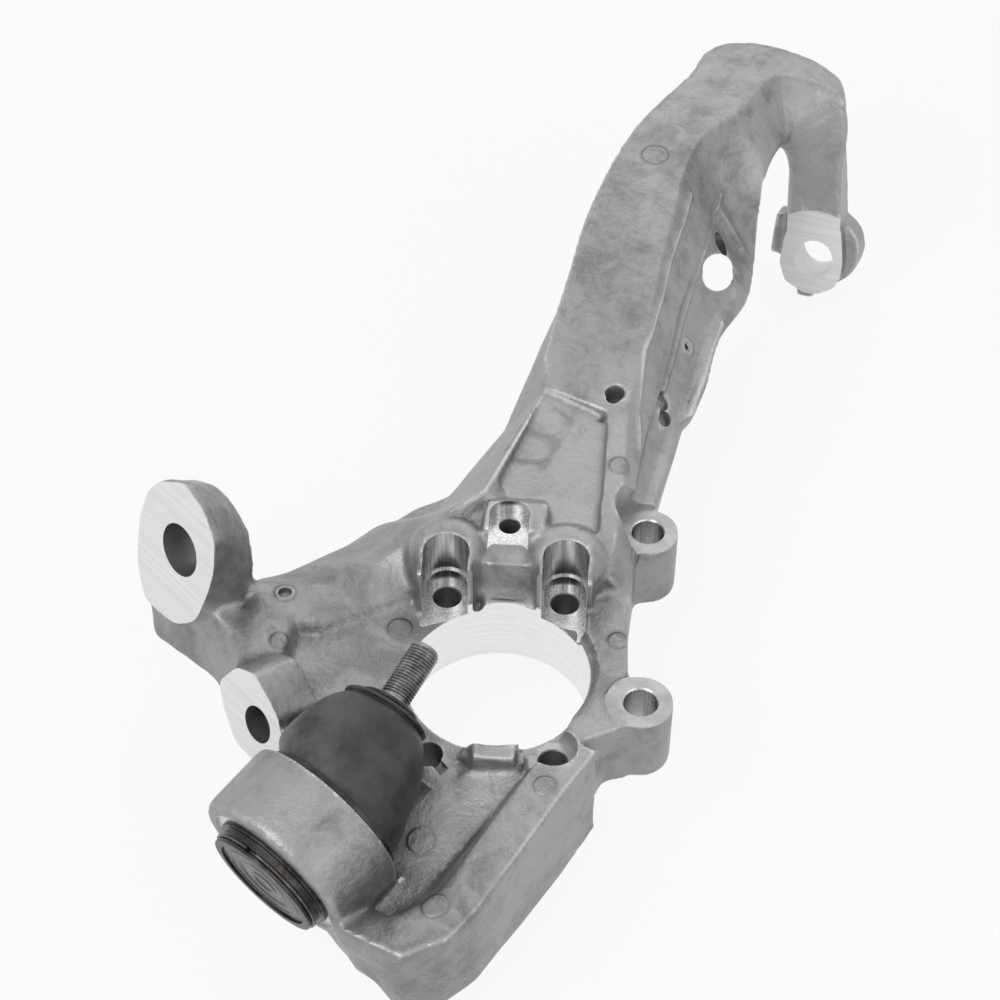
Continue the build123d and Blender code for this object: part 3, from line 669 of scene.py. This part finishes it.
def cutters():
    # every machined face is the wall of one of these, and takes its material
    c, p, m = casting, places, machinedMetal
    cuts = [rod("cut", np.zeros(3), up, c["hubRadius"], -50, 130, boreMetal, columns=160),
            rod("cut", np.zeros(3), up, c["hubRadius"] + 1.2, c["lipTop"], 78, castMetal, columns=160),
            rod("cut", np.zeros(3), up, c["flangeRelief"], -42, 0, m, columns=160)]
    for sx in (-1, 1):
        for sy in (-1, 1):
            at = np.array([sx * p["boltX"], sy * p["boltY"] + p["boltShiftY"], 0])
            cuts.append(rod("cut", at, up, c["boltRadius"], -50, 60, shadedBoreMetal, c["hubTop"], 0.5))
            if sy < 0:
                cuts.append(rod("cut", at, up, c["channelRadius"] + 0.4 * sx - 0.4, c["hubTop"], 60, milledMetal))
        at = np.array([sx * p["boltX"], p["boltY"] + p["boltShiftY"], 0])
        cuts.append(rod("cut", at, up, c["channelFoot"], c["hubTop"], 100, polishedMetal))
        cuts.append(rod("cut", at, up, c["channelRadius"], c["channelStep"], 100, polishedMetal))
        size = (2 * c["channelRadius"] - 0.4, 24, 69)
        cuts.append(brick("cut", at + np.array([0, -12, 65.5]), size, polishedMetal))
    for s in (-1, 1):
        at = np.array([p["caliperX"], p["caliperY"] + s * p["caliperHalf"], 0])
        cuts.append(rod("cut", at, up, c["lugHole"], -50, 90, polishedMetal, c["lugFace"], 0.6))
        cuts.append(rod("cut", at, up, c["lugRadius"] + 1.5, c["lugFace"], 66, milledMetal))
    sensor = np.array([0, c["sensorY"], 0])
    seatFront = np.array([0, (c["seatLow"] + c["sensorY"]) / 2, c["seatFloor"] + 16])
    cuts.append(rod("cut", sensor, up, c["seatHalf"], c["seatFloor"], 90, polishedMetal))
    cuts.append(brick("cut", seatFront, (2 * c["seatHalf"] - 0.2, c["sensorY"] - c["seatLow"], 32), polishedMetal))
    cuts.append(rod("cut", sensor, up, c["sensorHole"], c["seatFloor"] - 18, 90, shadedBoreMetal, c["seatFloor"], 0.5))
    cuts.append(rod("cut", p["jointCentre"], p["jointAxis"], c["sleeveBore"], -60, 60, m))
    cuts.append(rod("cut", p["jointCentre"], p["jointAxis"], c["ringRadius"] + 1,
                    c["ringHigh"], c["ringHigh"] + 5, m))
    cuts.append(rod("cut", p["jointCentre"], p["jointAxis"], c["sleeveSeat"], c["ringLow"] - 30, c["ringLow"], m))
    for at, radius, reach, depth in ((p["upperLug"], c["upperHole"], c["upperReach"], c["upperDepth"]),
                                     (p["lowerLug"], c["lowerHole"], c["lowerReach"], c["lowerDepth"])):
        cuts.append(rod("cut", at, p["lugAxis"], radius, -depth, 30, shadedBoreMetal))
        cuts.append(rod("cut", at, p["lugAxis"], reach, 0.0, 6.0, m, columns=64))
    for at, axis, radius, low, high in castHoles:
        cuts.append(rod("cut", np.array(at), np.array(axis), radius, low, high, castMetal, columns=48))
    at, axis, radius, low, high = shadedHollow
    cuts.append(rod("cut", np.array(at), axis, radius, low, high, shadedBoreMetal, columns=48))
    for turn in c["swingClear"]:  # room for the boot's neck ring where the stud swings over the hub's edge
        axis = np.array(Matrix.Rotation(math.radians(turn), 3, Vector(p["swingAxis"])) @ Vector(p["studAxis"]))
        cuts.append(rod("cut", p["jointCentre"], axis, c["neckClear"], c["neckLow"], c["neckHigh"], castMetal))
    cuts.append(rod("cut", p["clampCentre"], p["clampAxis"], c["clampBore"], -40, 60, m))
    cuts.append(rod("cut", p["clampCentre"], p["clampAxis"], c["clampReach"], -12, 0, m))
    return cuts


def makeCasting():
    skin = castSkin()
    skin.data.materials.clear()
    skin.data.materials.append(castMetal)
    thin = skin.modifiers.new("thin", "DECIMATE")
    thin.ratio = min(1.0, casting["keepTriangles"] / (2.0 * len(skin.data.polygons)))
    applied(skin)
    group = bpy.data.collections.new("cutters")
    for cut in cutters():
        bpy.context.scene.collection.objects.unlink(cut)
        group.objects.link(cut)
    milled = skin.modifiers.new("milled", "BOOLEAN")
    milled.operation, milled.operand_type, milled.solver = "DIFFERENCE", "COLLECTION", "EXACT"
    milled.collection, milled.material_mode = group, "TRANSFER"
    applied(skin)
    for cut in list(group.objects):
        removed(cut)
    bpy.data.collections.remove(group)
    skin.name = "casting_finished"
    skin.data.shade_smooth()
    skin.data.set_sharp_from_angle(angle=math.radians(casting["sharpAngle"]))
    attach(skin, "housing")
    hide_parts("knuckle_casting")
    print("stage: casting machined,", sum(len(q.vertices) - 2 for q in skin.data.polygons), "triangles")
    return skin


ballJoint = {
    "sleeveRadius": 27.0, "sleeveInner": 23.2, "sleeveBottom": -23.0, "ringLow": -14.0, "ringHigh": 18.0,
    "flangeRadius": 29.5, "flangeThickness": 2.4, "lipRadius": 19.6, "grooveRadius": 25.2, "grooveLow": -21.2,
    "clipWidth": 1.6, "clipRise": 0.9, "plateThickness": 2.5, "lipDepth": 4.0,
}


def makeSleeve():
    # one closed outline with softened corners, turned about the joint's axis
    b = ballJoint
    corners = [(b["sleeveInner"], b["sleeveBottom"]), (b["sleeveRadius"], b["sleeveBottom"]),
               (b["sleeveRadius"], b["grooveLow"]), (b["grooveRadius"], b["grooveLow"]),
               (b["grooveRadius"], b["grooveLow"] + b["clipWidth"]),
               (b["sleeveRadius"], b["grooveLow"] + b["clipWidth"]),
               (b["sleeveRadius"], b["ringLow"] - b["flangeThickness"]),
               (b["flangeRadius"], b["ringLow"] - b["flangeThickness"]), (b["flangeRadius"], b["ringLow"]),
               (b["sleeveRadius"], b["ringLow"]), (b["sleeveRadius"], b["ringHigh"]), (b["lipRadius"], b["ringHigh"]),
               (b["lipRadius"], b["ringHigh"] - b["lipDepth"]), (b["sleeveInner"], b["ringHigh"] - b["lipDepth"]),
               (b["sleeveInner"], b["sleeveBottom"])]
    profile = softProfile(corners, 0.5, 3)
    points = turnedPoints(places["jointCentre"], places["jointAxis"], profile, 128)
    piece = gridMesh("sleeve_turned", points, sleeveMetal)
    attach(piece, "housing")
    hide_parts("ball_joint_sleeve")


endPlate = {
    "rings": ((6.0, 0.5), (13.0, -0.4), (19.0, 0.5)),  # radius and height
    "ringWidth": 1.1, "dish": 0.7, "edge": 0.9, "play": 0.15,
}


def makeEndPlate():
    # pressed steel disc: a shallow dish with raised rings, its height a sum of smooth bumps over the radius
    b = ballJoint
    low, high = b["sleeveBottom"], b["sleeveBottom"] + b["plateThickness"]
    radius = np.linspace(0, b["sleeveInner"] - endPlate["play"], 60)
    outer = low + endPlate["edge"] + endPlate["dish"] * np.cos(radius / b["sleeveInner"] * np.pi / 2)
    for place, rise in endPlate["rings"]:
        outer = outer - rise * np.exp(-((radius - place) / endPlate["ringWidth"]) ** 2)
    face = np.stack([radius, outer], axis=1)
    back = np.array([(b["sleeveInner"] - endPlate["play"], high), (0, high)])
    points = turnedPoints(places["jointCentre"], places["jointAxis"], np.concatenate([face, back]))
    piece = gridMesh("end_plate_pressed", points, plateMetal)
    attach(piece, "housing")
    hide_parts("sleeve_end_plate")


def makeClip():
    # spring ring: a rounded section carried round the groove, open at its gap
    b = ballJoint
    x, y, z = frameOf(places["jointAxis"])
    middle = b["grooveLow"] + b["clipWidth"] / 2
    sweep = np.linspace(math.radians(6), math.radians(354), 140)
    section = np.linspace(0, 2 * np.pi, 16, endpoint=False)
    half = (b["sleeveRadius"] + b["clipRise"] - b["grooveRadius"]) / 2
    squareness = 0.72
    su = np.sign(np.cos(section)) * np.abs(np.cos(section)) ** squareness * half
    sv = np.sign(np.sin(section)) * np.abs(np.sin(section)) ** squareness * (b["clipWidth"] / 2 - 0.1)
    out = np.cos(sweep)[:, None] * x + np.sin(sweep)[:, None] * y
    radius = b["grooveRadius"] + 0.05 + half + su
    points = places["jointCentre"] + radius[None, :, None] * out[:, None, :] + (middle + sv)[None, :, None] * z
    piece = gridMesh("clip_spring", points, clipMetal, capEnds=True)
    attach(piece, "housing")
    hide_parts("sleeve_clip")


stud = {"ball": 15.0, "neck": 8.2, "collar": 12.0, "taper": 9.4, "thread": 7.0, "pitch": 1.5, "depth": 0.85,
        "threadStart": 77.0, "end": 105.0, "socket": 2.9, "socketDepth": 6.0}


def makeStud():
    # ball, neck, collar and taper are turned; the thread's radius falls and rises once per pitch and slips
    # by one pitch per turn, which is a helix; the end has a six-sided socket
    d = stud
    columns = 96
    angle = np.linspace(0, 2 * np.pi, columns, endpoint=False)
    ballAngle = np.linspace(-np.pi / 2, math.acos(d["neck"] / d["ball"]), 40)
    ball = np.stack([d["ball"] * np.cos(ballAngle), d["ball"] * np.sin(ballAngle)], axis=1)
    shank = softProfile([(d["neck"], 12.6), (d["neck"], 26), (d["collar"], 30), (d["collar"], 34), (d["taper"], 36),
                         (d["taper"] - 1.2, d["threadStart"] - 3), (d["thread"] - 0.8, d["threadStart"] - 2),
                         (d["thread"] - 0.8, d["threadStart"])], 0.7, 4)
    along = np.arange(d["threadStart"] + 0.05, d["end"] - 1.3, 0.125)
    turn = along[:, None] / d["pitch"] - angle[None, :] / (2 * np.pi)
    tooth = 1 - np.abs(2 * (turn - np.floor(turn)) - 1)
    fade = smoothStep((along - d["threadStart"]) / 1.6) * smoothStep((d["end"] - 1.2 - along) / 1.2)
    threadRadius = d["thread"] - d["depth"] * (1 - np.clip(tooth * 1.25, 0, 1) * fade[:, None])
    x, y, z = frameOf(places["studAxis"])
    ring = np.cos(angle)[:, None] * x + np.sin(angle)[:, None] * y
    plain = np.concatenate([ball, shank])
    rows = [places["jointCentre"] + plain[:, 0, None, None] * ring[None] + plain[:, 1, None, None] * z,
            places["jointCentre"] + threadRadius[..., None] * ring[None] + along[:, None, None] * z]
    endProfile = np.array([(d["thread"] - 0.95, d["end"] - 0.9), (d["thread"] - 1.5, d["end"] - 0.25),
                           (d["thread"] - 2.2, d["end"]), (d["socket"] + 0.6, d["end"])])
    rows.append(places["jointCentre"] + endProfile[:, 0, None, None] * ring[None] + endProfile[:, 1, None, None] * z)
    sixth = np.pi / 3
    hexRadius = d["socket"] * math.cos(sixth / 2) / np.cos((angle % sixth) - sixth / 2)
    for scale, depth in ((1.0, 0.3), (1.0, d["socketDepth"]), (0.0, d["socketDepth"])):
        rows.append((places["jointCentre"] + (scale * hexRadius)[:, None] * ring + (d["end"] - depth) * z)[None])
    piece = gridMesh("stud_threaded", np.concatenate(rows), studMetal, sharp=50)
    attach(piece, "stud")
    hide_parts("ball_stud")


boot = {
    "rows": (  # share of the stud's axis, distance along it and radius
        (0.0, 18.35, 31.4), (0.0, 20.0, 32.2), (0.25, 24.0, 32.6), (0.5, 29.0, 32.9), (1.0, 38.0, 32.5),
        (1.0, 45.0, 31.4), (1.0, 51.0, 29.7), (1.0, 57.0, 27.3), (1.0, 62.0, 24.6), (1.0, 65.6, 21.6),
        (1.0, 67.2, 19.7), (1.0, 67.9, 19.2), (1.0, 68.5, 20.2), (1.0, 69.3, 20.6), (1.0, 70.0, 20.2),
        (1.0, 70.4, 18.6), (1.0, 70.9, 15.6), (1.0, 71.4, 12.9), (1.0, 72.2, 12.1), (1.0, 74.0, 12.0),
        (1.0, 74.2, 11.3), (1.0, 73.0, 9.75),
    ),
    "wall": 2.2, "steps": 5, "innerEnd": 66.5, "foot": 20.0, "neck": 66.0,
}


def smoothRows(rows, steps):
    # Catmull-Rom curve through the rows, each a point in as many dimensions as it has numbers
    rows = np.array(rows, float)
    padded = np.concatenate([2 * rows[:1] - rows[1:2], rows, 2 * rows[-1:] - rows[-2:-1]])
    t = np.linspace(0, 1, steps, endpoint=False)[:, None]
    out = [catmullRom(a, b, c, d, t) for a, b, c, d in zip(padded[:-3], padded[1:-2], padded[2:-1], padded[3:])]
    return np.concatenate(out + [rows[-1:]])


def makeBoot():
    # circles along a line that leaves the housing's axis and ends on the stud's; the wall's inner side is the same
    # surface again, moved in
    p = places
    rows = smoothRows(boot["rows"], boot["steps"])
    angle = np.linspace(0, 2 * np.pi, 128, endpoint=False)
    share = smoothStep(rows[:, 0])[:, None]
    axis = (1 - share) * p["jointAxis"] + share * p["studAxis"]
    axis = axis / np.linalg.norm(axis, axis=1)[:, None]
    x = up - axis * (axis @ up)[:, None]
    x = x / np.linalg.norm(x, axis=1)[:, None]
    y = np.cross(axis, x)
    outward = np.cos(angle)[None, :, None] * x[:, None] + np.sin(angle)[None, :, None] * y[:, None]
    middle = p["jointCentre"] + rows[:, 1, None] * axis
    outer = middle[:, None] + rows[:, 2, None, None] * outward
    inner = middle[:, None] + (rows[:, 2, None, None] - boot["wall"]) * outward - axis[:, None] * boot["wall"] * 0.3
    inner[0] = outer[0] - outward[0] * boot["wall"]
    keep = rows[:, 1] < boot["innerEnd"]
    points = np.concatenate([outer, inner[keep][::-1], outer[:1]])
    piece = gridMesh("boot_rubber_dome", points, rubber, sharp=60)
    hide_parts("dust_boot")
    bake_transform(piece)


rings = {
    "boot_base_band": {"axis": "jointAxis", "at": 20.2, "radius": 33.8, "wire": 1.7, "turns": 2,
                       "body": "housing", "node": "boot_base_ring"},
    "boot_neck_band": {"axis": "studAxis", "at": 72.9, "radius": 13.3, "wire": 1.1, "turns": 1,
                       "body": "neck", "node": "boot_neck_ring"},
}


def makeRings():
    # torus whose section is a circle, or two half-size circles side by side for a double-wound ring
    for name, r in rings.items():
        count = 14 * r["turns"]
        section = np.linspace(0, 2 * np.pi, count, endpoint=False)
        waist = 1 - 0.22 * (r["turns"] - 1) * np.abs(np.cos(section)) ** 8
        profile = np.stack([r["radius"] + r["wire"] * waist * np.cos(section),
                            r["at"] + r["wire"] * np.sin(section)], axis=1)
        profile = np.concatenate([profile, profile[:1]])
        points = turnedPoints(places["jointCentre"], places[r["axis"]], profile, 128)
        piece = gridMesh(name, points, ringMetal)
        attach(piece, r["body"])
        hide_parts(r["node"])


studio = {
    "lens": 79.2, "sensor": 36.0, "place": (0.0503, -0.642, 0.8026), "elevation": 45.5, "turn": 4.4,
    "floor": -0.0305, "floorHalf": 3.0, "floorWhite": 0.9, "floorGlow": 0.9, "world": 0.32,
    "lamps": (  # name, place, side length and power
        ("key", (-0.9, -0.9, 1.5), 1.3, 14.0),
        ("fill", (1.2, -0.6, 1.1), 1.4, 5.0),
        ("back", (0.2, 1.5, 1.2), 1.4, 5.0),
    ),
    "aim": (0, 0.1, 0),
}


def makeStudio():
    s = studio
    scene = bpy.context.scene
    camera = bpy.data.objects.new("camera", bpy.data.cameras.new("camera"))
    camera.data.lens, camera.data.sensor_width = s["lens"], s["sensor"]
    camera.data.clip_start, camera.data.clip_end = 0.01, 50
    e, a = math.radians(s["elevation"]), math.radians(s["turn"])
    forward = Vector((-math.sin(a) * math.cos(e), math.cos(a) * math.cos(e), -math.sin(e)))
    camera.location = s["place"]
    camera.rotation_mode = "QUATERNION"
    camera.rotation_quaternion = forward.to_track_quat("-Z", "Y")
    scene.collection.objects.link(camera)
    scene.camera = camera
    scene.view_settings.view_transform = "Standard"

    for name, place, size, power in s["lamps"]:
        lamp = bpy.data.objects.new(name, bpy.data.lights.new(name, "AREA"))
        lamp.data.shape, lamp.data.size, lamp.data.energy = "SQUARE", size, power
        lamp.location = place
        lamp.rotation_mode = "QUATERNION"
        lamp.rotation_quaternion = (Vector(s["aim"]) - Vector(place)).to_track_quat("-Z", "Y")
        scene.collection.objects.link(lamp)

    world = bpy.data.worlds.new("studio")
    scene.world = world
    sky = Shade("studio_sky", world)
    strength = sky.node("ShaderNodeMapRange", None, Value=sky.seenInBackground(), To_Min=s["world"], To_Max=1.0)
    background = sky.node("ShaderNodeBackground", None, Color=1.0, Strength=strength.output("Result"))
    sky.tree.links.new(background.output("Background").socket, sky.out.inputs["Surface"])

    size, level = s["floorHalf"], s["floor"]
    mesh = bpy.data.meshes.new("floor")
    corners = [(-size, -size, level), (size, -size, level), (size, size, level), (-size, size, level)]
    mesh.from_pydata(corners, [], [(0, 1, 2, 3)])
    floor = bpy.data.objects.new("floor", mesh)
    scene.collection.objects.link(floor)
    paint = Shade("floor_white")
    seenAsWhite = paint.seenInBackground() * s["floorGlow"]
    glow = paint.node("ShaderNodeEmission", None, Color=1.0).output("Emission")
    matte = paint.node("ShaderNodeBsdfDiffuse", None, Color=s["floorWhite"]).output("BSDF")
    blend = paint.node("ShaderNodeMixShader", None, i0=seenAsWhite, i1=matte, i2=glow).output("Shader")
    paint.tree.links.new(blend.socket, paint.out.inputs["Surface"])
    mesh.materials.append(paint.material)
    print("stage: camera, light and floor made")


makeStudio()
makeCasting()
makeSleeve()
makeEndPlate()
makeClip()
makeStud()
makeBoot()
makeRings()
seat = nodes["ball_seat"]
seat.data.materials.clear()
seat.data.materials.append(plastic)
print("stage: ball joint made")
